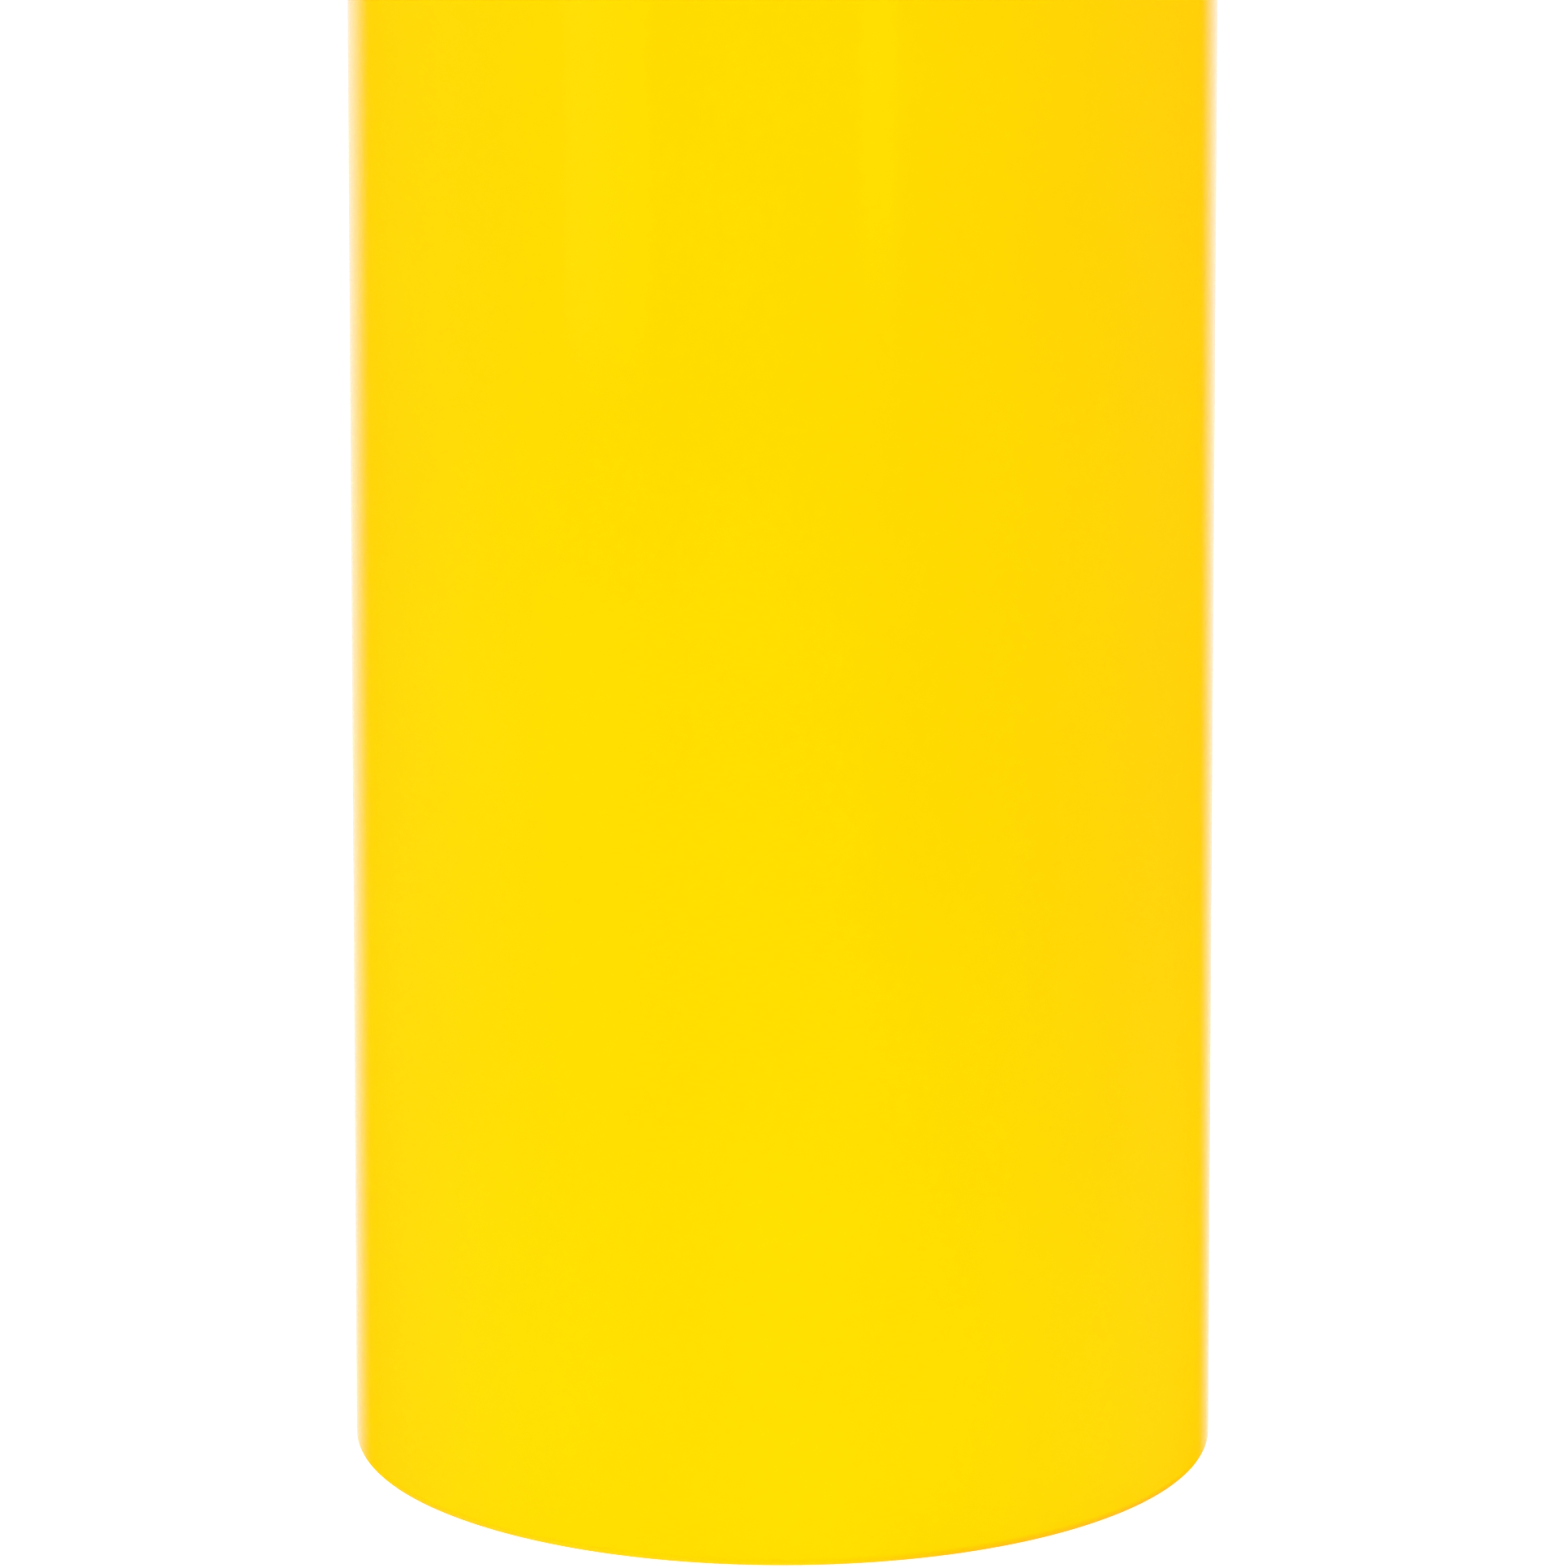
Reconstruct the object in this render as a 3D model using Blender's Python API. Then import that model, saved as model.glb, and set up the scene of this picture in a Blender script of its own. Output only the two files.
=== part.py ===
"""Steel safety bollard: a length of steel pipe, powder coated, whose foot is cast into concrete.

The pipe stands on its square-cut foot with +Z up, centred on the origin. Two anchor bars cross the
bore near the foot and are fillet-welded to it, so that set concrete can't let the pipe go. Two
slots in the top rim take a barrier chain, and a moulded cap on two rubber rings closes the bore.
"""

import math

import bmesh
import bpy
from mathutils import Matrix, Vector

MM = 0.001

# Pipe: four inch nominal, schedule 40
PIPE_OUTER_R = 57.15 * MM
PIPE_WALL = 6.02 * MM
PIPE_LENGTH = 1219.2 * MM
FOOT_ROUND = 1.0 * MM  # outer edge of the cut foot, broken before coating
RIM_ROUND = 1.2 * MM  # outer edge of the top rim
BORE_CHAMFER = 0.8 * MM

# Chain slots, open at the rim, on the +X and -X sides
SLOT_WIDTH = 12.7 * MM
SLOT_DEPTH = 50.0 * MM

# Anchor bars across the bore, the lower one along X and the upper one along Y
ANCHOR_BAR_R = 6.35 * MM
LOWER_ANCHOR_Z = 100.0 * MM
ANCHOR_PITCH = 75.0 * MM
WELD_LEG = 6.0 * MM

# Cap: a domed head on the rim and a plug inside the bore
CAP_OVERHANG = 0.6 * MM
CAP_EDGE_HEIGHT = 6.0 * MM
CAP_EDGE_ROUND = 3.0 * MM
CAP_DOME_RISE = 9.0 * MM
CAP_HEAD_WALL = 3.5 * MM
PLUG_CLEARANCE = 0.93 * MM
PLUG_DEPTH = 24.0 * MM
PLUG_MIN_WALL = 2.2 * MM  # behind the ring grooves
PLUG_LEAD_IN = 1.5 * MM
RIB_THICKNESS = 2.5 * MM
RIB_DROP = 5.0 * MM  # how far the ribs reach below the seat

# Grip rings on the plug
RING_SECTION_R = 1.5 * MM
RING_PITCH = 9.0 * MM
FIRST_RING_DROP = 7.5 * MM  # from the seat to the upper ring's middle
GROOVE_SIDE_CLEARANCE = 0.3 * MM

TOUCH_GAP = 0.3 * MM  # between pieces that meet
CUT_PAST = 5.0 * MM  # how far a cutter runs past the surface that it cuts

PIPE_SEGMENTS = 96
CAP_SEGMENTS = 64
BAR_SEGMENTS = 24
FILLET_STEPS = 3
DOME_STEPS = 7
RING_STEPS = 10
SLOT_STEPS = 10

BORE_R = PIPE_OUTER_R - PIPE_WALL
UPPER_ANCHOR_Z = LOWER_ANCHOR_Z + ANCHOR_PITCH
SEAT_Z = PIPE_LENGTH + TOUCH_GAP
HEAD_R = PIPE_OUTER_R + CAP_OVERHANG
PLUG_R = BORE_R - PLUG_CLEARANCE
RING_R = BORE_R - TOUCH_GAP - RING_SECTION_R  # centre of the ring's section
GROOVE_R = RING_R - RING_SECTION_R - TOUCH_GAP
PLUG_INNER_R = GROOVE_R - PLUG_MIN_WALL

# name: linear colour, roughness, metallic
FINISHES = {
    "safety_yellow_powder_coat": ((1.0, 0.68, 0.003), 0.32, 0.0),
    "mill_steel": ((0.16, 0.15, 0.14), 0.55, 1.0),
    "weld_steel": ((0.22, 0.20, 0.18), 0.45, 1.0),
    "black_moulded_plastic": ((0.016, 0.016, 0.017), 0.5, 0.0),
    "black_rubber": ((0.010, 0.010, 0.010), 0.8, 0.0),
}


def clear_scene():
    for thing in list(bpy.data.objects):
        bpy.data.objects.remove(thing)


def finish(name):
    """The material of this name, made the first time that it is asked for."""
    if name in bpy.data.materials:
        return bpy.data.materials[name]
    colour, roughness, metallic = FINISHES[name]
    material = bpy.data.materials.new(name)
    material.use_nodes = True
    shader = material.node_tree.nodes["Principled BSDF"]
    shader.inputs["Base Color"].default_value = (*colour, 1.0)
    shader.inputs["Roughness"].default_value = roughness
    shader.inputs["Metallic"].default_value = metallic
    material.diffuse_color = (*colour, 1.0)
    return material


def add_object(name, bm, material=None):
    """An object with this bmesh, its faces turned outwards."""
    bmesh.ops.recalc_face_normals(bm, faces=bm.faces)
    mesh = bpy.data.meshes.new(name)
    bm.to_mesh(mesh)
    bm.free()
    piece = bpy.data.objects.new(name, mesh)
    bpy.context.collection.objects.link(piece)
    if material:
        mesh.materials.append(finish(material))
        mesh.shade_smooth()
        mesh.set_sharp_from_angle(angle=math.radians(35))
    return piece


def arc(centre_r, centre_z, radius, start, end, steps):
    """Points (r, z) on an arc, from one angle to another in degrees."""
    angles = [math.radians(start + (end - start) * i / steps) for i in range(steps + 1)]
    return [(centre_r + radius * math.cos(a), centre_z + radius * math.sin(a)) for a in angles]


def revolve(outline, segments):
    """A bmesh of a closed outline of (r, z) points turned about Z."""
    bm = bmesh.new()
    verts = [bm.verts.new((r, 0.0, z)) for r, z in outline]
    edges = [bm.edges.new((a, b)) for a, b in zip(verts, verts[1:] + verts[:1])]
    bmesh.ops.spin(
        bm, geom=verts + edges, cent=(0, 0, 0), axis=(0, 0, 1),
        angle=2 * math.pi, steps=segments, use_merge=True,
    )
    bmesh.ops.remove_doubles(bm, verts=bm.verts, dist=1e-6)
    slivers = [face for face in bm.faces if face.calc_area() < 1e-14]
    bmesh.ops.delete(bm, geom=slivers, context="FACES_ONLY")
    return bm


def extrude_outline(points, direction):
    """A bmesh of a closed flat outline, extruded by a vector and centred on the outline's plane."""
    bm = bmesh.new()
    direction = Vector(direction)
    verts = [bm.verts.new(Vector(point) - direction / 2) for point in points]
    face = bm.faces.new(verts)
    extruded = bmesh.ops.extrude_face_region(bm, geom=[face])
    moved = [item for item in extruded["geom"] if isinstance(item, bmesh.types.BMVert)]
    bmesh.ops.translate(bm, verts=moved, vec=direction)
    return bm


def combine(piece, tool, operation):
    """Cuts, joins or intersects a piece with a tool object, which is then only a wire helper."""
    tool.hide_render = True
    tool.display_type = "WIRE"
    modifier = piece.modifiers.new(tool.name, "BOOLEAN")
    modifier.operation = operation
    modifier.solver = "EXACT"
    modifier.object = tool


def make_post_tube():
    """The pipe, with rounded outer edges, chamfered bore ends and the two chain slots."""
    foot = arc(PIPE_OUTER_R - FOOT_ROUND, FOOT_ROUND, FOOT_ROUND, -90, 0, FILLET_STEPS)
    rim_z = PIPE_LENGTH - RIM_ROUND
    rim = arc(PIPE_OUTER_R - RIM_ROUND, rim_z, RIM_ROUND, 0, 90, FILLET_STEPS)
    bore = [
        (BORE_R + BORE_CHAMFER, PIPE_LENGTH),
        (BORE_R, PIPE_LENGTH - BORE_CHAMFER),
        (BORE_R, BORE_CHAMFER),
        (BORE_R + BORE_CHAMFER, 0.0),
    ]
    tube = revolve(foot + rim + bore, PIPE_SEGMENTS)
    post = add_object("post_tube", tube, "safety_yellow_powder_coat")
    combine(post, make_slot_cutter(), "DIFFERENCE")


def make_slot_cutter():
    """A round-bottomed bar along X that cuts both chain slots at once."""
    half = SLOT_WIDTH / 2
    top = PIPE_LENGTH + CUT_PAST
    bottom = arc(0.0, PIPE_LENGTH - SLOT_DEPTH + half, half, 180, 360, SLOT_STEPS)
    outline = [(0.0, -half, top)] + [(0.0, y, z) for y, z in bottom] + [(0.0, half, top)]
    length = 2 * (PIPE_OUTER_R + CUT_PAST)
    return add_object("slot_cutter", extrude_outline(outline, (length, 0, 0)))


def make_anchor_bar(name, height, heading):
    """A straight bar across the bore, just short of the wall at both ends."""
    reach = math.sqrt((BORE_R - TOUCH_GAP) ** 2 - ANCHOR_BAR_R**2)
    bm = bmesh.new()
    bmesh.ops.create_cone(
        bm, cap_ends=True, segments=BAR_SEGMENTS, radius1=ANCHOR_BAR_R,
        radius2=ANCHOR_BAR_R, depth=2 * reach, matrix=Matrix.Rotation(math.pi / 2, 4, "Y"),
    )
    bar = add_object(name, bm, "mill_steel")
    bar.location.z = height
    bar.rotation_euler.z = heading


def make_anchor_weld(name, height, heading):
    """A fillet weld round one end of a bar, its back following the bore."""
    inner = ANCHOR_BAR_R + TOUCH_GAP
    toe = math.sqrt(BORE_R**2 - (inner + WELD_LEG) ** 2)  # where the bead's rim meets the bore
    bead = revolve(
        [
            (inner, toe - WELD_LEG),
            (inner + WELD_LEG * 0.55, toe - WELD_LEG * 0.55),
            (inner + WELD_LEG, toe),
            (inner + WELD_LEG, BORE_R + CUT_PAST),
            (inner, BORE_R + CUT_PAST),
        ],
        BAR_SEGMENTS,
    )
    bmesh.ops.rotate(
        bead, verts=bead.verts, cent=(0, 0, 0), matrix=Matrix.Rotation(math.pi / 2, 3, "Y")
    )
    weld = add_object(name, bead, "weld_steel")
    weld.location.z = height
    weld.rotation_euler.z = heading
    combine(weld, bpy.data.objects["bore_form"], "INTERSECT")


def make_bore_form():
    """The bore's own shape, less the gap that welds keep to it."""
    bm = bmesh.new()
    bmesh.ops.create_cone(
        bm, cap_ends=True, segments=PIPE_SEGMENTS, radius1=BORE_R - TOUCH_GAP,
        radius2=BORE_R - TOUCH_GAP, depth=PIPE_LENGTH,
        matrix=Matrix.Translation((0, 0, PIPE_LENGTH / 2)),
    )
    add_object("bore_form", bm)


def make_anchors():
    """Both bars, each with a weld at each end."""
    make_bore_form()
    for level, height, heading in (
        ("lower", LOWER_ANCHOR_Z, 0.0),
        ("upper", UPPER_ANCHOR_Z, math.pi / 2),
    ):
        make_anchor_bar(f"anchor_bar_{level}", height, heading)
        for end, turn in (("a", 0.0), ("b", math.pi)):
            make_anchor_weld(f"anchor_weld_{level}_{end}", height, heading + turn)


def dome_z(radius, edge_r, crown_z, rise):
    """Height of a spherical dome at a radius, for a dome that falls by its rise at its edge."""
    sphere = (edge_r**2 + rise**2) / (2 * rise)
    return crown_z - sphere + math.sqrt(sphere**2 - radius**2)


def dome(edge_r, crown_z, rise, span):
    """Points (r, z) on the dome from its crown to a radius."""
    radii = [span * i / DOME_STEPS for i in range(DOME_STEPS + 1)]
    return [(r, dome_z(r, edge_r, crown_z, rise)) for r in radii]


def ring_heights():
    upper = SEAT_Z - FIRST_RING_DROP
    return upper, upper - RING_PITCH


def make_cap_body(pivot):
    """Domed head, plug with two ring grooves, and a cross of ribs under the dome."""
    crown = SEAT_Z + CAP_EDGE_HEIGHT + CAP_DOME_RISE
    edge_r = HEAD_R - CAP_EDGE_ROUND
    shoulder = SEAT_Z + CAP_EDGE_HEIGHT - CAP_EDGE_ROUND
    outline = dome(edge_r, crown, CAP_DOME_RISE, edge_r)
    outline += arc(edge_r, shoulder, CAP_EDGE_ROUND, 90, 0, FILLET_STEPS)[1:]
    outline += [(HEAD_R, SEAT_Z), (PLUG_R, SEAT_Z)]
    half = RING_SECTION_R + GROOVE_SIDE_CLEARANCE
    for z in ring_heights():
        outline += [(PLUG_R, z + half), (GROOVE_R, z + half)]
        outline += [(GROOVE_R, z - half), (PLUG_R, z - half)]
    foot = SEAT_Z - PLUG_DEPTH
    outline += [(PLUG_R, foot + PLUG_LEAD_IN), (PLUG_R - PLUG_LEAD_IN, foot), (PLUG_INNER_R, foot)]
    inside = dome(edge_r, crown - CAP_HEAD_WALL, CAP_DOME_RISE, PLUG_INNER_R)
    outline += inside[::-1]
    cap = add_object("cap_body", revolve(outline, CAP_SEGMENTS), "black_moulded_plastic")
    hold(cap, pivot)
    for axis, turn in (("x", 0.0), ("y", math.pi / 2)):
        combine(cap, make_cap_rib(f"cap_rib_{axis}", edge_r, crown, turn, pivot), "UNION")


def make_cap_rib(name, edge_r, crown, turn, pivot):
    """A plate under the dome, its top edge halfway through the head's wall."""
    reach = PLUG_INNER_R + PLUG_MIN_WALL / 2
    middle = dome(edge_r, crown - CAP_HEAD_WALL / 2, CAP_DOME_RISE, reach)
    base = SEAT_Z - RIB_DROP
    top = [(r, 0.0, z) for r, z in middle]
    mirrored = [(-r, 0.0, z) for r, z in middle[:0:-1]]
    outline = [(-reach, 0.0, base)] + mirrored + top + [(reach, 0.0, base)]
    rib = add_object(name, extrude_outline(outline, (0, RIB_THICKNESS, 0)))
    rib.rotation_euler.z = turn
    hold(rib, pivot)
    return rib


def make_grip_rings(pivot):
    """The two rubber rings in the plug's grooves."""
    for level, height in zip(("upper", "lower"), ring_heights()):
        section = arc(RING_R, height, RING_SECTION_R, 0, 360, RING_STEPS)[:-1]
        ring = add_object(f"cap_grip_ring_{level}", revolve(section, CAP_SEGMENTS), "black_rubber")
        hold(ring, pivot)


def hold(piece, pivot):
    """Parents a piece to an empty without moving it."""
    piece.parent = pivot
    piece.matrix_parent_inverse = Matrix.Translation(-pivot.location)


def make_cap():
    """The cap and its rings, on an empty on the axis along which they lift off."""
    pivot = bpy.data.objects.new("cap_lift_axis", None)
    bpy.context.collection.objects.link(pivot)
    pivot.location.z = SEAT_Z
    make_cap_body(pivot)
    make_grip_rings(pivot)


clear_scene()
make_post_tube()
make_anchors()
make_cap()
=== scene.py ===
import math

import bpy
import numpy as np
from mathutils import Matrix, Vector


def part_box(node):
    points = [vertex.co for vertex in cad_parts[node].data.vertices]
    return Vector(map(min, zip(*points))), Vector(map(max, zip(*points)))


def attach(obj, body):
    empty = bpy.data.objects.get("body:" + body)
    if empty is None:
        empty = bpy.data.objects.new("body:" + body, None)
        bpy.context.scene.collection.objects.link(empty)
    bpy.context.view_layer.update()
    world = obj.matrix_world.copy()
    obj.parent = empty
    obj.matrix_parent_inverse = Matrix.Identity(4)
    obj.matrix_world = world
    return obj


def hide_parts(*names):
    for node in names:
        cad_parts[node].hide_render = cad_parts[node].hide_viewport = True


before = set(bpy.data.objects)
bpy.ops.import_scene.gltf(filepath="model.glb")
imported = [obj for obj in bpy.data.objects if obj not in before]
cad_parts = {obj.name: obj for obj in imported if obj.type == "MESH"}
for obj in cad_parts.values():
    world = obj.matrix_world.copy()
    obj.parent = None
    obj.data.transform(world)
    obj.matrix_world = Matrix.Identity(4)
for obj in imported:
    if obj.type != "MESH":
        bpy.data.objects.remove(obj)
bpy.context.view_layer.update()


# ---- The post ----------------------------------------------------------------------------------
# A length of electric-welded carbon steel pipe, cut square at both ends, with two slots for a
# barrier chain sawn down from its rim. Every cut edge is broken before the pipe is hung up and
# sprayed with safety-yellow polyester powder, which melts and flows out in the oven.

MM = 0.001  # metres in a millimetre
pipe_low, pipe_high = (np.array(corner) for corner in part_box("post_tube"))
pipe_r = (pipe_high[0] - pipe_low[0]) / 2
pipe_length = pipe_high[2] - pipe_low[2]
wall = 6.02 * MM
bore_r = pipe_r - wall
foot_round, rim_round, bore_round = 1.0 * MM, 1.2 * MM, 0.8 * MM
slot_half, slot_depth, slot_corner = 6.35 * MM, 50.0 * MM, 1.5 * MM
seam_angle, seam_half, seam_height = math.radians(205), 1.6 * MM, 0.2 * MM
slot_fade = math.radians(30)  # how far round the pipe a slot's flat walls bend the rows
end_margin = 0.2 * MM  # from a rounded edge to the flat of the pipe's end
wall_bend = 80 * MM  # how far below the rim the rows start to bend to the slots
wall_rows = 22  # in that stretch


def grid_mesh(name, points, rows_close=False):
    """A mesh on a grid of points [row, column, xyz]. Columns always close on themselves; rows do
    when asked, and otherwise the first and last rows are poles, each merged into one vertex.
    Corner (i, j) of a face is point i * columns + j, with both numbers taken round the grid."""
    rows, columns = points.shape[:2]
    i, j = np.meshgrid(np.arange(rows if rows_close else rows - 1), np.arange(columns), indexing="ij")
    up, along = (i + 1) % rows, (j + 1) % columns
    corners = [i * columns + j, i * columns + along, up * columns + along, up * columns + j]
    quads = np.stack(corners, -1).reshape(-1, 4)
    if not rows_close:
        first, last = quads < columns, quads >= (rows - 1) * columns
        quads = np.where(first, 0, np.where(last, (rows - 1) * columns, quads))
    low_pole = quads[:, 0] == quads[:, 1]
    three_sided = low_pole | (quads[:, 2] == quads[:, 3])
    picked = np.where(low_pole[:, None], quads[:, [0, 2, 3, 3]], quads)
    kept = ~(three_sided[:, None] & (np.arange(4) == 3))
    used, numbers = np.unique(picked[kept], return_inverse=True)
    sizes = np.where(three_sided, 3, 4)
    mesh = bpy.data.meshes.new(name)
    mesh.vertices.add(len(used))
    mesh.vertices.foreach_set("co", points.reshape(-1, 3)[used].astype(np.float32).ravel())
    mesh.loops.add(len(numbers))
    mesh.loops.foreach_set("vertex_index", numbers.astype(np.int32).ravel())
    mesh.polygons.add(len(sizes))
    starts = np.concatenate([[0], np.cumsum(sizes)[:-1]])
    mesh.polygons.foreach_set("loop_start", starts.astype(np.int32))
    mesh.update(calc_edges=True)
    mesh.validate()
    mesh.shade_smooth()
    piece = bpy.data.objects.new(name, mesh)
    bpy.context.scene.collection.objects.link(piece)
    return piece


def slot_edge_quarter(rim_columns):
    """A quarter of the pipe's top edge, from the middle of a slot to halfway between the slots: a
    quarter circle at the slot's foot, its straight side, a rounded corner, then the rim. Returns
    the outer-surface angle, the height, and the edge's outward direction across and up."""
    turn = np.radians(np.linspace(0, 90, 13))
    middle_z = pipe_length - slot_depth + slot_half
    rise = np.linspace(middle_z, pipe_length - slot_corner, 13)[1:-1]
    turned = np.radians(np.linspace(0, 90, 7))
    across = [slot_half * np.sin(turn), np.full(rise.size, slot_half)]
    across.append(slot_half + slot_corner * (1 - np.cos(turned)))
    height = [middle_z - slot_half * np.cos(turn), rise]
    height.append(pipe_length - slot_corner * (1 - np.sin(turned)))
    out_across = [-np.sin(turn), np.full(rise.size, -1.0), -np.cos(turned)]
    out_up = [np.cos(turn), np.zeros(rise.size), np.sin(turned)]
    angle = np.arcsin(np.concatenate(across) / pipe_r)
    rim = np.linspace(angle[-1], math.pi / 2, rim_columns + 1)[1:]
    angle = np.concatenate([angle, rim])
    height = np.concatenate([*height, np.full(rim.size, pipe_length)])
    out_across = np.concatenate([*out_across, np.zeros(rim.size)])
    return angle, height, out_across, np.concatenate([*out_up, np.ones(rim.size)])


def all_round(quarter, sign):
    """Mirrors a quarter's values to a half turn, which then serves both slots. sign is -1 for a
    value that changes sign across the slot's middle."""
    half = np.concatenate([sign * quarter[:0:-1], quarter[:-1]])
    return np.concatenate([half, half])


quarter = slot_edge_quarter(76)
edge_angle, edge_out = all_round(quarter[0], -1), all_round(quarter[2], -1)
edge_z, edge_up = all_round(quarter[1], 1), all_round(quarter[3], 1)
columns = edge_angle.size
slot_turn = np.where(np.arange(columns) < columns // 2, 0.0, math.pi)
even_angle = all_round(np.linspace(0, math.pi / 2, quarter[0].size), -1)


def pipe_points(angle, height, radius):
    """Points of the pipe at an outer-surface angle, height and radius. A slot's walls are flat, so
    inside the slot's width the distance across stays the same at every radius; the shift that this
    makes fades out by slot_fade. The bore carries a low weld seam, a raised cosine across."""
    flat = np.clip(angle, -np.arcsin(slot_half / pipe_r), np.arcsin(slot_half / pipe_r))
    shift = np.arcsin(np.sin(flat) * pipe_r / radius) - flat
    fade = np.clip((slot_fade - abs(angle)) / (slot_fade - abs(flat)), 0, 1)
    turned = angle + shift * fade + slot_turn
    off_seam = abs((turned - seam_angle + math.pi) % (2 * math.pi) - math.pi) * radius
    bead = seam_height * (0.5 + 0.5 * np.cos(np.clip(off_seam / seam_half, 0, 1) * math.pi))
    radius = radius - np.where(radius < bore_r + 0.1 * MM, bead, 0)
    return np.stack([radius * np.cos(turned), radius * np.sin(turned), height + 0 * turned], -1)


def near_edge(inset, radius):
    """One row that follows the top edge at a distance into the metal, at a given radius."""
    across = pipe_r * np.sin(edge_angle) - edge_out * inset
    angle = np.where(edge_out == 0, edge_angle, np.arcsin(across / pipe_r))
    return angle, edge_z - edge_up * inset, np.full(columns, radius)


def pipe_wall(radius, inset):
    """Rows up a wall. They start even, and from wall_bend below the rim they run straight, in angle
    and height, to the edge's own shape, inset by its rounding."""
    start_z = pipe_length - wall_bend
    end_angle, end_z, _ = near_edge(inset, radius)
    share = np.append(np.linspace(0, 1, wall_rows)[:-1], [0.985, 1.0])
    return [
        (even_angle + (end_angle - even_angle) * s, start_z + (end_z - start_z) * s, radius)
        for s in share
    ]


# The rows follow the pipe's section once round: the foot's outer edge, the outside, the rim, the
# bore from the rim down, the foot's inner edge and its flat.
quarter_turn = np.radians(np.linspace(0, 90, 6))
plain_levels = (0.05, 0.2, 0.6)
rows = [
    (even_angle, foot_round * (1 - math.cos(a)), pipe_r - foot_round * (1 - math.sin(a)))
    for a in quarter_turn
]
rows += [(even_angle, z, pipe_r) for z in (foot_round + 0.3 * MM, *plain_levels)]
rows += pipe_wall(pipe_r, rim_round)
rows += [
    near_edge(rim_round * (1 - math.sin(a)), pipe_r - rim_round * (1 - math.cos(a)))
    for a in quarter_turn[1:]
]
flat_outer, flat_inner = pipe_r - rim_round - end_margin, bore_r + bore_round + end_margin
rows += [near_edge(0, radius) for radius in (flat_outer, flat_inner)]
rows += [
    near_edge(bore_round * (1 - math.cos(a)), bore_r + bore_round * (1 - math.sin(a)))
    for a in quarter_turn
]
rows += pipe_wall(bore_r, bore_round)[-2::-1]
rows += [(even_angle, z, bore_r) for z in plain_levels[::-1]]
rows += [
    (even_angle, bore_round * (1 - math.sin(a)), bore_r + bore_round * (1 - math.cos(a)))
    for a in quarter_turn
]
rows += [(even_angle, 0.0, radius) for radius in (flat_inner, pipe_r - foot_round - end_margin)]
post = grid_mesh("post", np.stack([pipe_points(*row) for row in rows]), rows_close=True)


def linear(colour):
    """Linear red, green, blue and a full alpha of an sRGB hex colour."""
    value = np.array([int(colour[i : i + 2], 16) for i in (0, 2, 4)]) / 255
    value = np.where(value <= 0.04045, value / 12.92, ((value + 0.055) / 1.055) ** 2.4)
    return (*value.tolist(), 1.0)


def add_node(tree, kind, settings, inputs):
    """Adds a shader node: settings are its properties, and inputs gives each socket, by name or
    number, a value or the output socket that feeds it. Sockets 1 to 4 of a MapRange are the range
    that it reads and the range that it gives; socket 0 of a Mix is its factor, and 2 and 3 are the
    numbers that it mixes, or 6 and 7 the colours."""
    made = tree.nodes.new("ShaderNode" + kind)
    for name, value in settings.items():
        setattr(made, name, value)
    for socket, value in inputs.items():
        if isinstance(value, bpy.types.NodeSocket):
            tree.links.new(value, made.inputs[socket])
        else:
            made.inputs[socket].default_value = value
    return made


def new_material(name):
    """A new node material, its tree, its Principled shader and the piece's own coordinates."""
    material = bpy.data.materials.new(name)
    material.use_nodes = True
    tree = material.node_tree
    place = tree.nodes.new("ShaderNodeTexCoord").outputs["Object"]
    return material, tree, tree.nodes["Principled BSDF"], place


# Safety-yellow polyester powder coat, about 80 microns thick and glossy. It flows out to a fine
# orange peel, which only shows as a grain in the highlights. The gun's cloud reaches some 70 mm
# into the bore, to a ragged edge; past that the pipe is bare, dark hot-rolled steel. The broken
# edge of the foot is painted a shade more orange, above all on the +X side. This is painted shade
# where the edge turns down to the floor and the light from that side is weaker.
powder, tree, shader, place = new_material("polyester_powder_coat_on_steel")
peel_size, peel_height, cloud_size = 1.4 * MM, 0.02 * MM, 60 * MM
# The painted shade on the foot's broken edge fades out between these two heights.
foot_shade_top, foot_shade_deepest = 1.4 * MM, 0.4 * MM  # heights at the foot
coat_full, coat_none, ragged_by = 70 * MM, 120 * MM, 50 * MM  # depth in the bore plus raggedness
peel = add_node(tree, "TexNoise", {}, {"Vector": place, "Scale": 1 / peel_size, "Detail": 1.5})
cloud = add_node(tree, "TexNoise", {}, {"Vector": place, "Scale": 1 / cloud_size, "Detail": 3.0})
yellow = add_node(tree, "ValToRGB", {}, {"Fac": cloud.outputs["Fac"]})
yellow.color_ramp.elements[0].position = 0.3
yellow.color_ramp.elements[0].color = linear("FFC400")
yellow.color_ramp.elements[1].position = 0.7
yellow.color_ramp.elements[1].color = linear("FFC700")
level = add_node(tree, "VectorMath", {"operation": "MULTIPLY"}, {0: place, 1: (1.0, 1.0, 0.0)})
radius = add_node(tree, "VectorMath", {"operation": "LENGTH"}, {0: level.outputs["Vector"]})
inside = add_node(
    tree, "MapRange", {},
    {"Value": radius.outputs["Value"], 1: bore_r + 0.3 * MM, 2: bore_r + 0.7 * MM, 3: 1.0, 4: 0.0},
)
xyz = add_node(tree, "SeparateXYZ", {}, {0: place})
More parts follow.
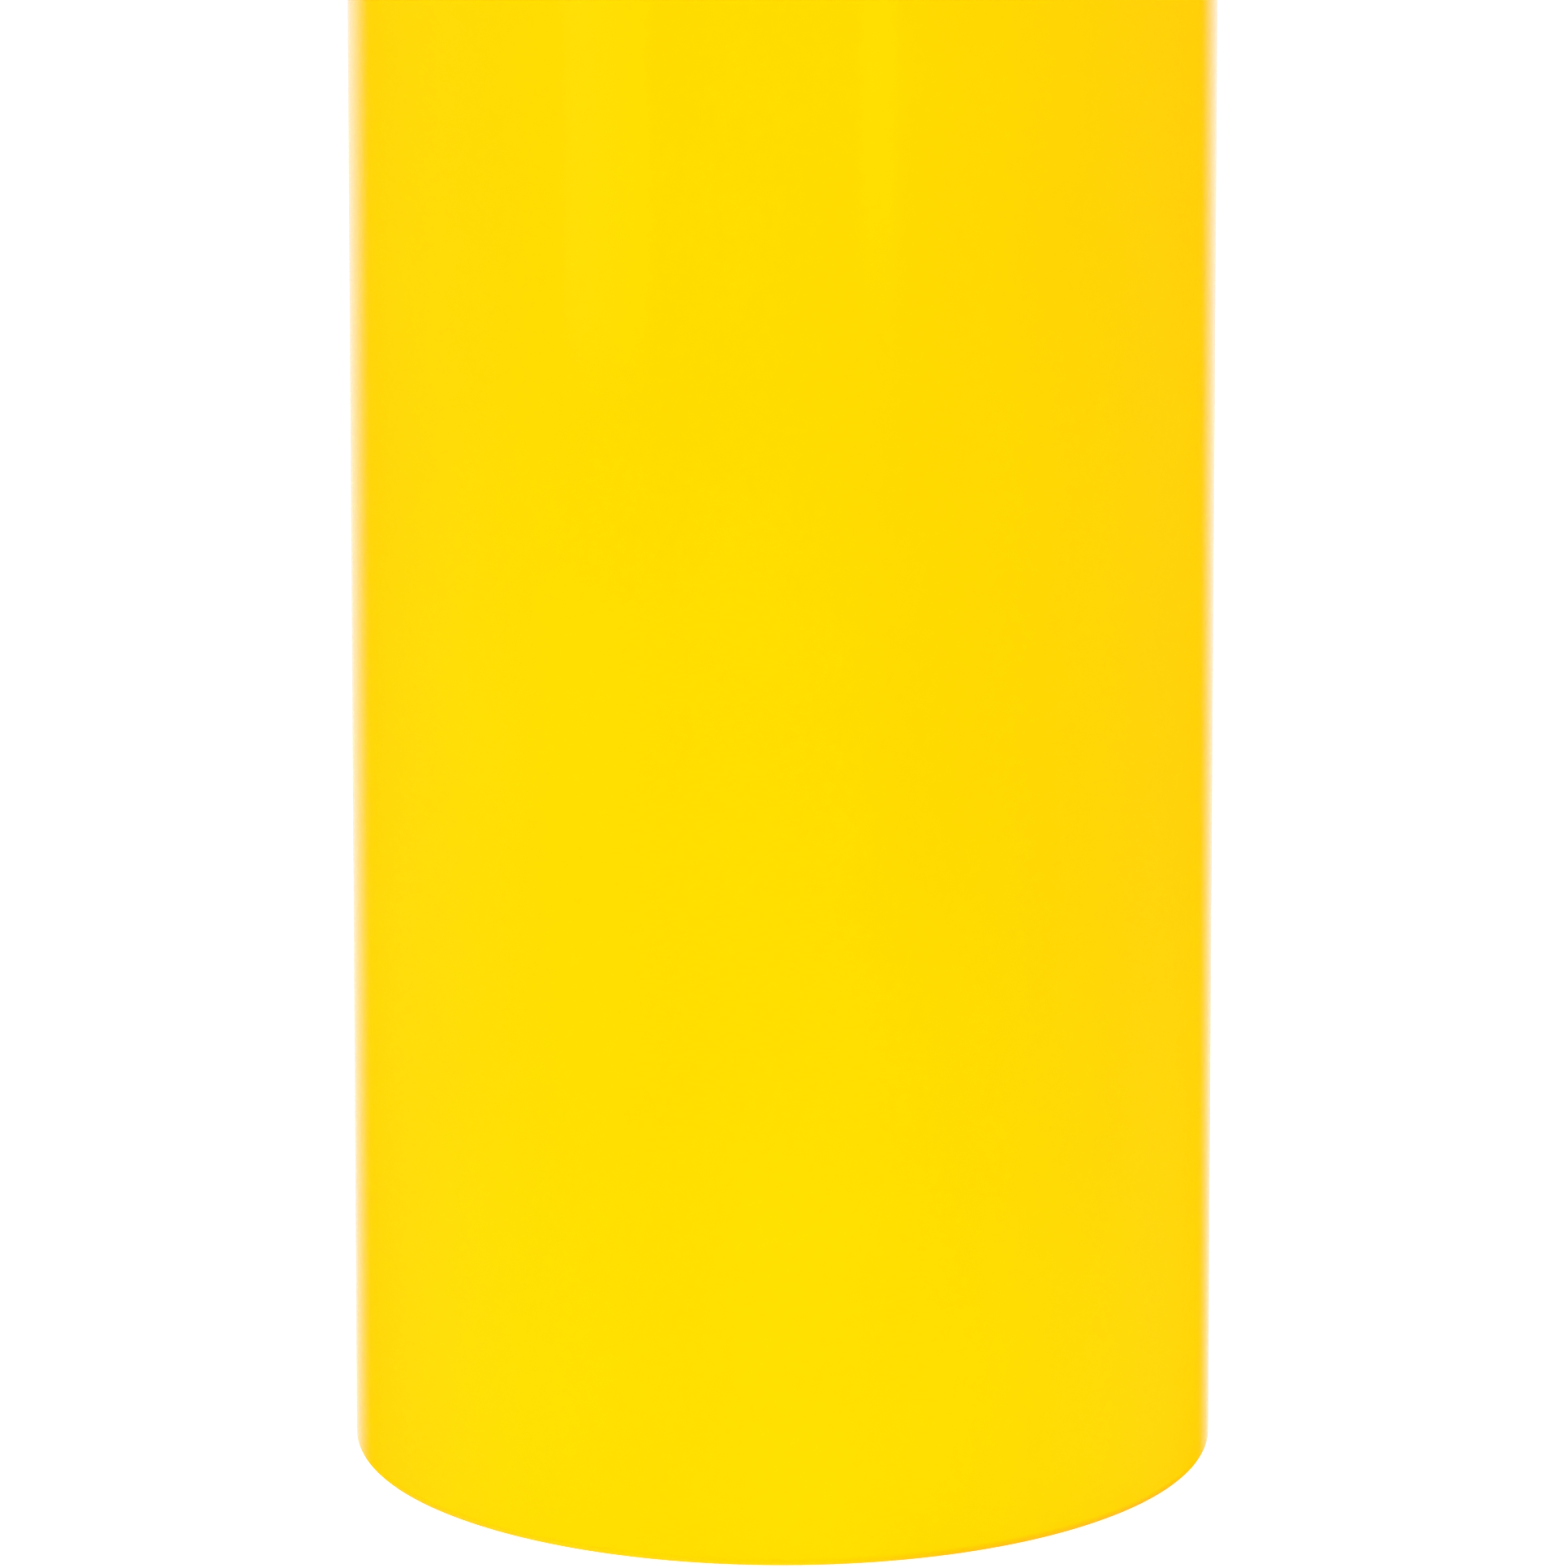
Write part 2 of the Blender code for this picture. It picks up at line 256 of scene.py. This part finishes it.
# Painted shade: low on the foot's edge, and most on the +X side, the coat is mixed towards a deeper orange.
foot_shade_fade = add_node(
    tree, "MapRange", {"interpolation_type": "SMOOTHSTEP"},
    {"Value": xyz.outputs["Z"], 1: foot_shade_deepest, 2: foot_shade_top, 3: 1.0, 4: 0.0},
)
shaded_side = add_node(
    tree, "MapRange", {"interpolation_type": "SMOOTHSTEP"},
    {"Value": xyz.outputs["X"], 1: 0.0, 2: 30 * MM, 3: 0.4, 4: 1.0},
)
painted_foot_shade = add_node(
    tree, "Math", {"operation": "MULTIPLY"}, {0: foot_shade_fade.outputs[0], 1: shaded_side.outputs[0]}
)
# The deeper orange FFAB00 is painted shade along the foot's broken edge, not a change in the film.
coat = add_node(
    tree, "Mix", {"data_type": "RGBA"},
    {0: painted_foot_shade.outputs[0], 6: yellow.outputs["Color"], 7: linear("FFAB00")},
)
from_top = add_node(tree, "Math", {"operation": "SUBTRACT"}, {0: pipe_length, 1: xyz.outputs["Z"]})
from_end = add_node(
    tree, "Math", {"operation": "MINIMUM"}, {0: xyz.outputs["Z"], 1: from_top.outputs[0]}
)
ragged = add_node(
    tree, "Math", {"operation": "MULTIPLY_ADD"},
    {0: cloud.outputs["Fac"], 1: ragged_by, 2: from_end.outputs[0]},
)
deep = add_node(
    tree, "MapRange", {"interpolation_type": "SMOOTHSTEP"},
    {"Value": ragged.outputs[0], 1: coat_full, 2: coat_none, 3: 0.0, 4: 1.0},
)
bare = add_node(
    tree, "Math", {"operation": "MULTIPLY"}, {0: inside.outputs[0], 1: deep.outputs[0]}
)
surface = add_node(
    tree, "Mix", {"data_type": "RGBA"},
    {0: bare.outputs[0], 6: coat.outputs[2], 7: linear("4E4A46")},
)
gloss = add_node(
    tree, "MapRange", {}, {"Value": peel.outputs["Fac"], 1: 0.3, 2: 0.7, 3: 0.09, 4: 0.12}
)
dull = add_node(
    tree, "Mix", {"data_type": "FLOAT"}, {0: bare.outputs[0], 2: gloss.outputs[0], 3: 0.6}
)
waves = add_node(
    tree, "Bump", {}, {"Strength": 1.0, "Distance": peel_height, "Height": peel.outputs["Fac"]}
)
tree.links.new(surface.outputs[2], shader.inputs["Base Color"])
tree.links.new(dull.outputs[0], shader.inputs["Roughness"])
tree.links.new(waves.outputs["Normal"], shader.inputs["Normal"])
shader.inputs["IOR"].default_value = 1.5
shader.inputs["Specular Tint"].default_value = linear("FFC500")  # the pigment glows through the film

post.data.materials.append(powder)
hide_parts("post_tube")
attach(post, "post")


# ---- The anchor bars ---------------------------------------------------------------------------
# Two short lengths of deformed reinforcing bar, sheared off a long one and set across the bore
# near the foot, one above the other at right angles, so that the set concrete holds the pipe.

bar_core_r, rib_height, rib_pitch, rib_slant = 5.85 * MM, 0.5 * MM, 8.0 * MM, 0.22
end_share, face_share = 0.94, 0.995  # the sheared ends' radius and the last full section's reach


def bar_points(low, high):
    """A bar from end to end of its box. The radius is the core's plus slanted ribs, a raised cosine
    of the distance along to the fourth power, which fade out at two long ribs on the sides."""
    along_x = high[0] - low[0] > high[1] - low[1]
    middle, half = (low + high) / 2, max(high[0] - low[0], high[1] - low[1]) / 2
    turn = np.linspace(0, 2 * math.pi, 56, endpoint=False)[None, :]
    reach = np.linspace(-half, half, 260)[:, None]
    wave = 0.5 + 0.5 * np.cos(2 * math.pi * (reach / rib_pitch + rib_slant * np.sin(turn)))
    ribs = wave**4 * np.sqrt(abs(np.sin(turn)))
    long_ribs = np.clip(abs(np.cos(turn)) * 12 - 11, 0, 1)
    radius = bar_core_r + rib_height * np.maximum(ribs, long_ribs)
    ends = radius[:1] * end_share, radius[-1:] * end_share
    radius = np.vstack([0 * ends[0], ends[0], radius, ends[1], 0 * ends[1]])
    reach = np.vstack([reach[:1], reach[:1], reach * face_share, reach[-1:], reach[-1:]]) + 0 * turn
    side, up = radius * np.cos(turn), radius * np.sin(turn)
    spots = [reach, side, up] if along_x else [-side, reach, up]
    return np.stack(spots, -1) + middle


# Hot-rolled bar under its own mill scale: a dark, blue-grey oxide, worn brown and dull in patches
# a few millimetres across, over fine pits.
scale, tree, shader, place = new_material("mill_scale_on_hot_rolled_bar")
blotch_size, pit_size = 5.5 * MM, 0.6 * MM
blotch = add_node(tree, "TexNoise", {}, {"Vector": place, "Scale": 1 / blotch_size, "Detail": 6.0})
oxide = add_node(tree, "ValToRGB", {}, {"Fac": blotch.outputs["Fac"]})
oxide.color_ramp.elements[0].position = 0.35
oxide.color_ramp.elements[0].color = linear("3B3D42")
oxide.color_ramp.elements[1].position = 0.68
oxide.color_ramp.elements[1].color = linear("6B4A35")
pits = add_node(tree, "TexNoise", {}, {"Vector": place, "Scale": 1 / pit_size, "Detail": 3.0})
rough = add_node(
    tree, "MapRange", {}, {"Value": blotch.outputs["Fac"], 1: 0.3, 2: 0.7, 3: 0.42, 4: 0.8}
)
dents = add_node(
    tree, "Bump", {}, {"Strength": 0.6, "Distance": 0.05 * MM, "Height": pits.outputs["Fac"]}
)
tree.links.new(oxide.outputs["Color"], shader.inputs["Base Color"])
tree.links.new(rough.outputs[0], shader.inputs["Roughness"])
tree.links.new(dents.outputs["Normal"], shader.inputs["Normal"])
shader.inputs["Metallic"].default_value = 0.6

for level in ("lower", "upper"):
    low, high = (np.array(corner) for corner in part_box(f"anchor_bar_{level}"))
    bar = grid_mesh(f"deformed_bar_{level}", bar_points(low, high))
    bar.data.materials.append(scale)
    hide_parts(f"anchor_bar_{level}")
    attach(bar, "post")


# ---- The anchor welds --------------------------------------------------------------------------
# A fillet run round each end of each bar, laid by hand with a wire torch: a convex bead of
# overlapping ripples, fused to the bar and to the bore.

weld_leg, weld_bulge, weld_unevenness = 6.0 * MM, 0.85, 0.03
ripple_count, ripple_height, ripple_slant = 22, 0.25 * MM, 1.6


def weld_points(low, high):
    """A bead round a bar's end. Its section is a quarter superellipse, the sine and cosine to the
    power weld_bulge, closed by two straight legs, one on the bar and one on the bore's curve.
    Ripples are a slanted sine round the bar, strongest at the middle of the face."""
    middle = (low + high) / 2
    heading = math.atan2(middle[1], middle[0])
    around = np.linspace(0, 2 * math.pi, 132, endpoint=False)[None, :]
    sweep = np.radians(np.linspace(0, 90, 13))[:, None]
    ripple = np.sin(ripple_count * around - ripple_slant * sweep) * np.sin(2 * sweep)
    uneven = 1 + weld_unevenness * np.sin(3 * around + heading)
    size = weld_leg * uneven + ripple_height * ripple
    out = bar_core_r + size * np.cos(sweep) ** weld_bulge
    deep = size * np.sin(sweep) ** weld_bulge
    root = np.full((1, around.size), bar_core_r)
    out = np.vstack([out, root, root])
    deep = np.vstack([deep, 0.5 * weld_leg + 0 * root, 0 * root])
    side, up = out * np.cos(around), out * np.sin(around)
    reach = np.sqrt(bore_r**2 - side**2) - deep
    x = reach * math.cos(heading) - side * math.sin(heading)
    y = reach * math.sin(heading) + side * math.cos(heading)
    return np.stack([x, y, up + middle[2]], -1)


# Weld metal as it froze, brighter than the bar, with a straw and blue heat tint by patches.
bead_metal, tree, shader, place = new_material("as_laid_weld_metal")
tint_size = 4.2 * MM
tint = add_node(tree, "TexNoise", {}, {"Vector": place, "Scale": 1 / tint_size, "Detail": 2.0})
heat = add_node(tree, "ValToRGB", {}, {"Fac": tint.outputs["Fac"]})
heat.color_ramp.elements[0].position = 0.35
heat.color_ramp.elements[0].color = linear("8A8479")
heat.color_ramp.elements[1].position = 0.7
heat.color_ramp.elements[1].color = linear("5B5F6E")
shine = add_node(
    tree, "MapRange", {}, {"Value": tint.outputs["Fac"], 1: 0.3, 2: 0.7, 3: 0.3, 4: 0.5}
)
tree.links.new(heat.outputs["Color"], shader.inputs["Base Color"])
tree.links.new(shine.outputs[0], shader.inputs["Roughness"])
shader.inputs["Metallic"].default_value = 1.0

for level in ("lower", "upper"):
    for end in ("a", "b"):
        node = f"anchor_weld_{level}_{end}"
        corners = (np.array(corner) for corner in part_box(node))
        bead = grid_mesh(f"fillet_bead_{level}_{end}", weld_points(*corners)[::-1], rows_close=True)
        bead.data.materials.append(bead_metal)
        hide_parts(node)
        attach(bead, "post")


# ---- The cap -----------------------------------------------------------------------------------
# One injection moulding in black polyethylene: a low domed head that sits on the rim, with a
# shallow channel round it and the mould's gate at its crown, a short plug with two grooves for
# the grip rings, and a cross of stiffening ribs under the dome.

cap_low, cap_high = (np.array(corner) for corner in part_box("cap_body"))
touch_gap = 0.3 * MM  # between pieces that touch
seat_z = pipe_high[2] + touch_gap
head_r = (cap_high[0] - cap_low[0]) / 2
head_edge, head_round, dome_rise, head_wall = 6.7 * MM, 3.0 * MM, 9.0 * MM, 3.5 * MM
plug_clearance, plug_wall, plug_taper = 0.93 * MM, 2.2 * MM, 1.5 * MM
ring_section_r, ring_drop, ring_pitch = 1.5 * MM, 7.5 * MM, 9.0 * MM
plug_r = bore_r - plug_clearance
ring_r = bore_r - touch_gap - ring_section_r
groove_half = ring_section_r + touch_gap
groove_r = ring_r - groove_half
plug_inner_r = groove_r - plug_wall
dome_edge_r, dome_crown_r = head_r - head_round, 46 * MM
gate_r, gate_depth = 1.6 * MM, 0.5 * MM
channel_in_r, channel_out_r = 48.2 * MM, 50.2 * MM
channel_depth, channel_slope, channel_round = 0.6 * MM, 0.4 * MM, 0.3 * MM
stiffener_half, stiffener_drop, stiffener_overlap = 1.25 * MM, 5.0 * MM, 1.0 * MM


def dome_heights(radius, crown_z):
    """Height of a sphere's cap at a radius: the sphere falls by dome_rise at dome_edge_r."""
    sphere = (dome_edge_r**2 + dome_rise**2) / (2 * dome_rise)
    return crown_z - sphere + np.sqrt(sphere**2 - radius**2)


def rounded(corners, steps=5):
    """A profile of (r, z, rounding) corners, each rounded by a quadratic curve that starts and ends
    at the rounding's distance from the corner."""
    spots = np.array(corners, float)
    path = []
    for before, corner, after in zip(spots[:-2], spots[1:-1], spots[2:]):
        to_start, to_end = before[:2] - corner[:2], after[:2] - corner[:2]
        start = corner[:2] + to_start / np.hypot(*to_start) * corner[2]
        end = corner[:2] + to_end / np.hypot(*to_end) * corner[2]
        t = np.linspace(0, 1, steps)[:, None]
        path.append((1 - t) ** 2 * start + 2 * t * (1 - t) * corner[:2] + t**2 * end)
    return np.vstack(path)


def turned(profile, columns=192):
    """A profile of (r, z) points turned about Z."""
    angle = np.linspace(0, 2 * math.pi, columns, endpoint=False)[None, :]
    r, z = profile[:, 0][:, None], profile[:, 1][:, None]
    return np.stack([r * np.cos(angle), r * np.sin(angle), z + 0 * angle], -1)


crown_z = cap_high[2]
under_z = crown_z - head_wall
dome_r = np.concatenate([np.linspace(0, 3 * MM, 7), np.linspace(3.4 * MM, dome_crown_r, 26)])
dimple = -gate_depth * np.exp(-((dome_r / gate_r) ** 2))
dome = np.stack([dome_r, dome_heights(dome_r, crown_z) + dimple], -1)
channel_in_z, channel_out_z = (dome_heights(r, crown_z) for r in (channel_in_r, channel_out_r))
line = [  # each corner's radius, height and rounding, from the dome out and down to the seat
    (dome_crown_r, dome_heights(dome_crown_r, crown_z), 0),
    (channel_in_r, channel_in_z, channel_round),
    (channel_in_r + channel_slope, channel_in_z - channel_depth, channel_round),
    (channel_out_r - channel_slope, channel_out_z - channel_depth, channel_round),
    (channel_out_r, channel_out_z, channel_round),
    (head_r, seat_z + head_edge, head_round),
    (head_r, seat_z, 0.5 * MM),
    (plug_r, seat_z, 0.1 * MM),
]
for drop in (ring_drop, ring_drop + ring_pitch):
    groove_top, groove_foot = seat_z - drop + groove_half, seat_z - drop - groove_half
    corners = ((plug_r, groove_top), (groove_r, groove_top), (groove_r, groove_foot), (plug_r, groove_foot))
    line += [(*corner, 0.2 * MM) for corner in corners]
ceiling_r = 0.8 * plug_inner_r
line += [  # the plug's tapered end, its inside, and the start of the dome's underside
    (plug_r, cap_low[2] + plug_taper, 0.4 * MM),
    (plug_r - plug_taper, cap_low[2], 0.3 * MM),
    (plug_inner_r, cap_low[2], 0.5 * MM),
    (plug_inner_r, dome_heights(plug_inner_r, under_z), 1.5 * MM),
    (ceiling_r, dome_heights(ceiling_r, under_z), 0),
]
under_r = np.linspace(ceiling_r, 0, 16)[1:]
under = np.stack([under_r, dome_heights(under_r, under_z)], -1)
cap = grid_mesh("moulded_cap", turned(np.vstack([dome, rounded(line), under]))[::-1])


def rib_points(heading):
    """A plate under the dome: a flat outline, straight below and on the dome's middle surface
    above, as a grid of layers through its thickness. The outer layers are drawn in a little, which
    breaks the edges, and each face closes at its middle."""
    reach = (plug_inner_r + stiffener_overlap) * np.cos(np.linspace(0, math.pi, 40))
    top = np.stack([reach, dome_heights(reach, crown_z - head_wall / 2)], -1)
    below = np.stack([reach[::-1], np.full(reach.size, seat_z - stiffener_drop)], -1)
    outline = np.vstack([top, below])
    middle = np.array([0.0, seat_z])
    face, edge = stiffener_half, stiffener_half - 0.35 * MM
    layers = [(-face, 0.0), (-face, 0.97), (-edge, 1.0), (edge, 1.0), (face, 0.97), (face, 0.0)]
    points = []
    for side, share in layers:
        flat = middle + (outline - middle) * share
        x = flat[:, 0] * math.cos(heading) - side * math.sin(heading)
        y = flat[:, 0] * math.sin(heading) + side * math.cos(heading)
        points.append(np.stack([x, y, flat[:, 1]], -1))
    return np.stack(points)


# Black polyethylene from a spark-eroded mould: an even fine grain with a soft, waxy shine.
plastic, tree, shader, place = new_material("grained_black_polyethylene")
grain_size, scuff_size = 0.5 * MM, 22 * MM
grain = add_node(tree, "TexNoise", {}, {"Vector": place, "Scale": 1 / grain_size, "Detail": 3.0})
scuff = add_node(tree, "TexNoise", {}, {"Vector": place, "Scale": 1 / scuff_size, "Detail": 5.0})
black = add_node(tree, "ValToRGB", {}, {"Fac": scuff.outputs["Fac"]})
black.color_ramp.elements[0].position = 0.35
black.color_ramp.elements[0].color = linear("17181A")
black.color_ramp.elements[1].position = 0.75
black.color_ramp.elements[1].color = linear("222325")
wax = add_node(
    tree, "MapRange", {}, {"Value": scuff.outputs["Fac"], 1: 0.3, 2: 0.7, 3: 0.38, 4: 0.52}
)
skin = add_node(
    tree, "Bump", {}, {"Strength": 0.7, "Distance": 0.02 * MM, "Height": grain.outputs["Fac"]}
)
tree.links.new(black.outputs["Color"], shader.inputs["Base Color"])
tree.links.new(wax.outputs[0], shader.inputs["Roughness"])
tree.links.new(skin.outputs["Normal"], shader.inputs["Normal"])
shader.inputs["IOR"].default_value = 1.51

cap.data.materials.append(plastic)
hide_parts("cap_body")
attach(cap, "cap")
for number, heading in enumerate((0.0, math.pi / 2), 1):
    rib = grid_mesh(f"cap_rib_{number}", rib_points(heading)[::-1])
    rib.data.materials.append(plastic)
    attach(rib, "cap")


# ---- The grip rings ----------------------------------------------------------------------------
# Two moulded rubber rings in the plug's grooves. They rub on the bore, hold the cap down by
# friction and keep the rain out; each has the thin flash line of its split mould.

flash_height, flash_width = 0.04 * MM, 0.06  # the width is the sine of half an angle


def ring_points(height):
    """A ring: a circle turned about Z, with a narrow ridge of flash at its outermost line, a bell
    curve of the sine of half the angle round the section."""
    section = np.linspace(0, 2 * math.pi, 28, endpoint=False)
    flash = flash_height * np.exp(-((np.sin(section / 2) / flash_width) ** 2))
    radius = ring_section_r + flash
    profile = np.stack([ring_r + radius * np.cos(section), height + radius * np.sin(section)], -1)
    return turned(profile)


# Carbon-filled nitrile rubber: matt, near black, with a faint bloom.
rubber, tree, shader, place = new_material("black_nitrile_rubber")
bloom_size = 3.3 * MM
bloom = add_node(tree, "TexNoise", {}, {"Vector": place, "Scale": 1 / bloom_size, "Detail": 4.0})
tone = add_node(tree, "ValToRGB", {}, {"Fac": bloom.outputs["Fac"]})
tone.color_ramp.elements[0].color = linear("121212")
tone.color_ramp.elements[1].color = linear("262524")
tree.links.new(tone.outputs["Color"], shader.inputs["Base Color"])
shader.inputs["Roughness"].default_value = 0.78

for level, drop in (("upper", ring_drop), ("lower", ring_drop + ring_pitch)):
    ring = grid_mesh(f"grip_ring_{level}", ring_points(seat_z - drop), rows_close=True)
    ring.data.materials.append(rubber)
    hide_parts(f"cap_grip_ring_{level}")
    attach(ring, "cap")


# ---- The floor ---------------------------------------------------------------------------------
# A plain, matt white studio floor, wide enough to run out of every view. It glows a little, so
# that the post throws hardly any shadow on it, and lies just under the foot.

floor_half, floor_z = 12.0, pipe_low[2] - 0.2 * MM
floor_sides = ((-1, -1), (1, -1), (1, 1), (-1, 1))
floor_corners = [(x * floor_half, y * floor_half, floor_z) for x, y in floor_sides]
floor_mesh = bpy.data.meshes.new("floor")
floor_mesh.from_pydata(floor_corners, [], [(0, 1, 2, 3)])
floor = bpy.data.objects.new("floor", floor_mesh)
bpy.context.scene.collection.objects.link(floor)
paint, tree, shader, place = new_material("matt_white_floor_paint")
shader.inputs["Base Color"].default_value = linear("FAFAFA")
shader.inputs["Roughness"].default_value = 0.9
shader.inputs["Emission Color"].default_value = linear("FFFFFF")
shader.inputs["Emission Strength"].default_value = 0.8
floor_mesh.materials.append(paint)
floor.visible_glossy = False


# ---- The light ---------------------------------------------------------------------------------
# A white room. Matt surfaces get even light from all of it. Shiny ones see a white wall before and
# behind the post, a pale ceiling and a dim yellow glow from below, so that the coat keeps its full
# colour between two bright rims. The camera sees plain white.

wall_heading = math.radians(92.4)  # from +X: one wall is nearly straight behind the post
wall_edge, wall_full = math.cos(math.radians(34)), math.cos(math.radians(12))
wall_spread, wall_level = 0.8, math.sin(math.radians(14.3))  # the walls widen upwards
wall_foot_none, wall_foot_full = -0.6, -0.4
ceiling_edge, ceiling_full = math.sin(math.radians(25)), math.sin(math.radians(60))
ceiling_light, matt_light = 0.9, 0.49
white, dark = (1.0, 1.0, 1.0, 1.0), (0.0, 0.0, 0.0, 1.0)
yellow_glow, deep_glow = (0.56, 0.58, 0.0, 1.0), (0.34, 0.3, 0.1, 1.0)

world = bpy.data.worlds.new("studio")
world.use_nodes = True
world.cycles.sampling_method = "NONE"  # so that matt and shiny surfaces each see their own room
bpy.context.scene.world = world
tree = world.node_tree
tree.nodes.clear()
way = add_node(tree, "TexCoord", {}, {}).outputs["Generated"]
level_way = add_node(tree, "VectorMath", {"operation": "MULTIPLY"}, {0: way, 1: (1.0, 1.0, 0.0)})
unit_way = add_node(tree, "VectorMath", {"operation": "NORMALIZE"}, {0: level_way.outputs[0]})
towards_back = add_node(
    tree, "VectorMath", {"operation": "DOT_PRODUCT"},
    {0: unit_way.outputs[0], 1: (math.cos(wall_heading), math.sin(wall_heading), 0.0)},
)
towards_wall = add_node(
    tree, "Math", {"operation": "ABSOLUTE"}, {0: towards_back.outputs["Value"]}
)
rise = add_node(tree, "SeparateXYZ", {}, {0: way})
widened = add_node(
    tree, "Math", {"operation": "MULTIPLY_ADD"},
    {0: rise.outputs["Z"], 1: wall_spread, 2: wall_spread * wall_level},
)
across_wall = add_node(
    tree, "Math", {"operation": "ADD"}, {0: towards_wall.outputs[0], 1: widened.outputs[0]}
)
wall_light = add_node(
    tree, "MapRange", {"interpolation_type": "SMOOTHSTEP"},
    {"Value": across_wall.outputs[0], 1: wall_edge, 2: wall_full, 3: 0.0, 4: 1.0},
)
wall_foot = add_node(
    tree, "MapRange", {"interpolation_type": "SMOOTHSTEP"},
    {"Value": rise.outputs["Z"], 1: wall_foot_none, 2: wall_foot_full, 3: 0.0, 4: 1.0},
)
wall_seen = add_node(
    tree, "Math", {"operation": "MULTIPLY"}, {0: wall_light.outputs[0], 1: wall_foot.outputs[0]}
)
ceiling = add_node(
    tree, "MapRange", {"interpolation_type": "SMOOTHSTEP"},
    {"Value": rise.outputs["Z"], 1: ceiling_edge, 2: ceiling_full, 3: 0.0, 4: ceiling_light},
)
seen = add_node(
    tree, "Math", {"operation": "MAXIMUM"}, {0: wall_seen.outputs[0], 1: ceiling.outputs[0]}
)
fall = add_node(tree, "MapRange", {}, {"Value": rise.outputs["Z"], 1: 0.0, 2: -1.0, 3: 0.0, 4: 1.0})
below = add_node(tree, "ValToRGB", {}, {"Fac": fall.outputs[0]})
below.color_ramp.interpolation = "EASE"
below.color_ramp.elements.new(0.15).color = yellow_glow
below.color_ramp.elements.new(0.38).color = yellow_glow
below.color_ramp.elements[0].color = dark
below.color_ramp.elements[-1].position = 0.6
below.color_ramp.elements[-1].color = deep_glow
room = add_node(
    tree, "Mix", {"data_type": "RGBA"},
    {0: seen.outputs[0], 6: below.outputs["Color"], 7: white},
)
path = add_node(tree, "LightPath", {}, {})
light_felt = add_node(
    tree, "Mix", {"data_type": "RGBA"},
    {0: path.outputs["Is Glossy Ray"], 6: (*[matt_light] * 3, 1.0), 7: room.outputs[2]},
)
light_seen = add_node(
    tree, "Mix", {"data_type": "RGBA"},
    {0: path.outputs["Is Camera Ray"], 6: light_felt.outputs[2], 7: white},
)
glow = add_node(tree, "Background", {}, {"Color": light_seen.outputs[2], "Strength": 1.0})
add_node(tree, "OutputWorld", {}, {"Surface": glow.outputs[0]})


def add_lamp(name, place, target, size, watts):
    """A rectangular soft box at a place, turned towards a target. The camera doesn't see it."""
    light = bpy.data.lights.new(name, "AREA")
    light.shape = "RECTANGLE"
    light.size, light.size_y = size
    light.energy = watts
    lamp = bpy.data.objects.new(name, light)
    bpy.context.scene.collection.objects.link(lamp)
    lamp.location = place
    aim = np.array(target, float) - np.array(place, float)
    tilt = math.acos(-aim[2] / np.linalg.norm(aim))
    lamp.rotation_euler = (tilt, 0, math.atan2(aim[0], -aim[1]) + math.pi)
    lamp.visible_camera = False
    return lamp


# Square soft boxes that only light matt surfaces: place, target, side, watts and spread.
for name, place, target, side, watts, spread in (
    ("key_box", (-1.6, -2.2, 1.6), (0, 0, 0.3), 1.6, 23.5, 180),
    ("right_fill", (2.4, -0.3, 0.5), (0, 0, 0.2), 1.2, 7.6, 180),
    ("front_fill", (-0.05, -0.6, 0.45), (0, 0, 0.3), 0.3, 0.2, 180),
    ("floor_pool", (0, 0, 3.0), (0, 0, 0), 0.5, 0.78, 20),
):
    lamp = add_lamp(name, place, target, (side, side), watts)
    lamp.data.spread = math.radians(spread)
    lamp.visible_glossy = False

# Tall strips that only show as soft upright highlights: heading from the front towards +X,
# distance from the post, width, height of the lower end, and watts.
strip_top = 1.15
for name, side, distance, width, foot, watts in (
    ("left_strip", -44.5, 0.42, 0.17, 0.065, 0.51),
    ("right_strip", 24, 0.48, 0.08, 0.065, 0.32),
    ("back_strip", 140, 0.45, 0.14, 0.35, 1.0),
):
    heading = math.radians(side)
    middle_z = (foot + strip_top) / 2
    spot = (distance * math.sin(heading), -distance * math.cos(heading), middle_z)
    strip = add_lamp(name, spot, (0, 0, middle_z), (width, strip_top - foot), watts)
    strip.visible_diffuse = False


# ---- The camera --------------------------------------------------------------------------------
# It looks down a little at the foot of the post through a long lens.

look_down = 15.96  # degrees
camera_data = bpy.data.cameras.new("camera")
camera_data.lens, camera_data.sensor_width = 430.0, 36.0
camera_data.clip_end = 100.0
camera = bpy.data.objects.new("camera", camera_data)
camera.location = (0.0002, -2.393, pipe_low[2] + 0.775)
camera.rotation_euler = (math.radians(90 - look_down), 0, 0)
bpy.context.scene.collection.objects.link(camera)
bpy.context.scene.camera = camera
bpy.context.scene.view_settings.view_transform = "Standard"
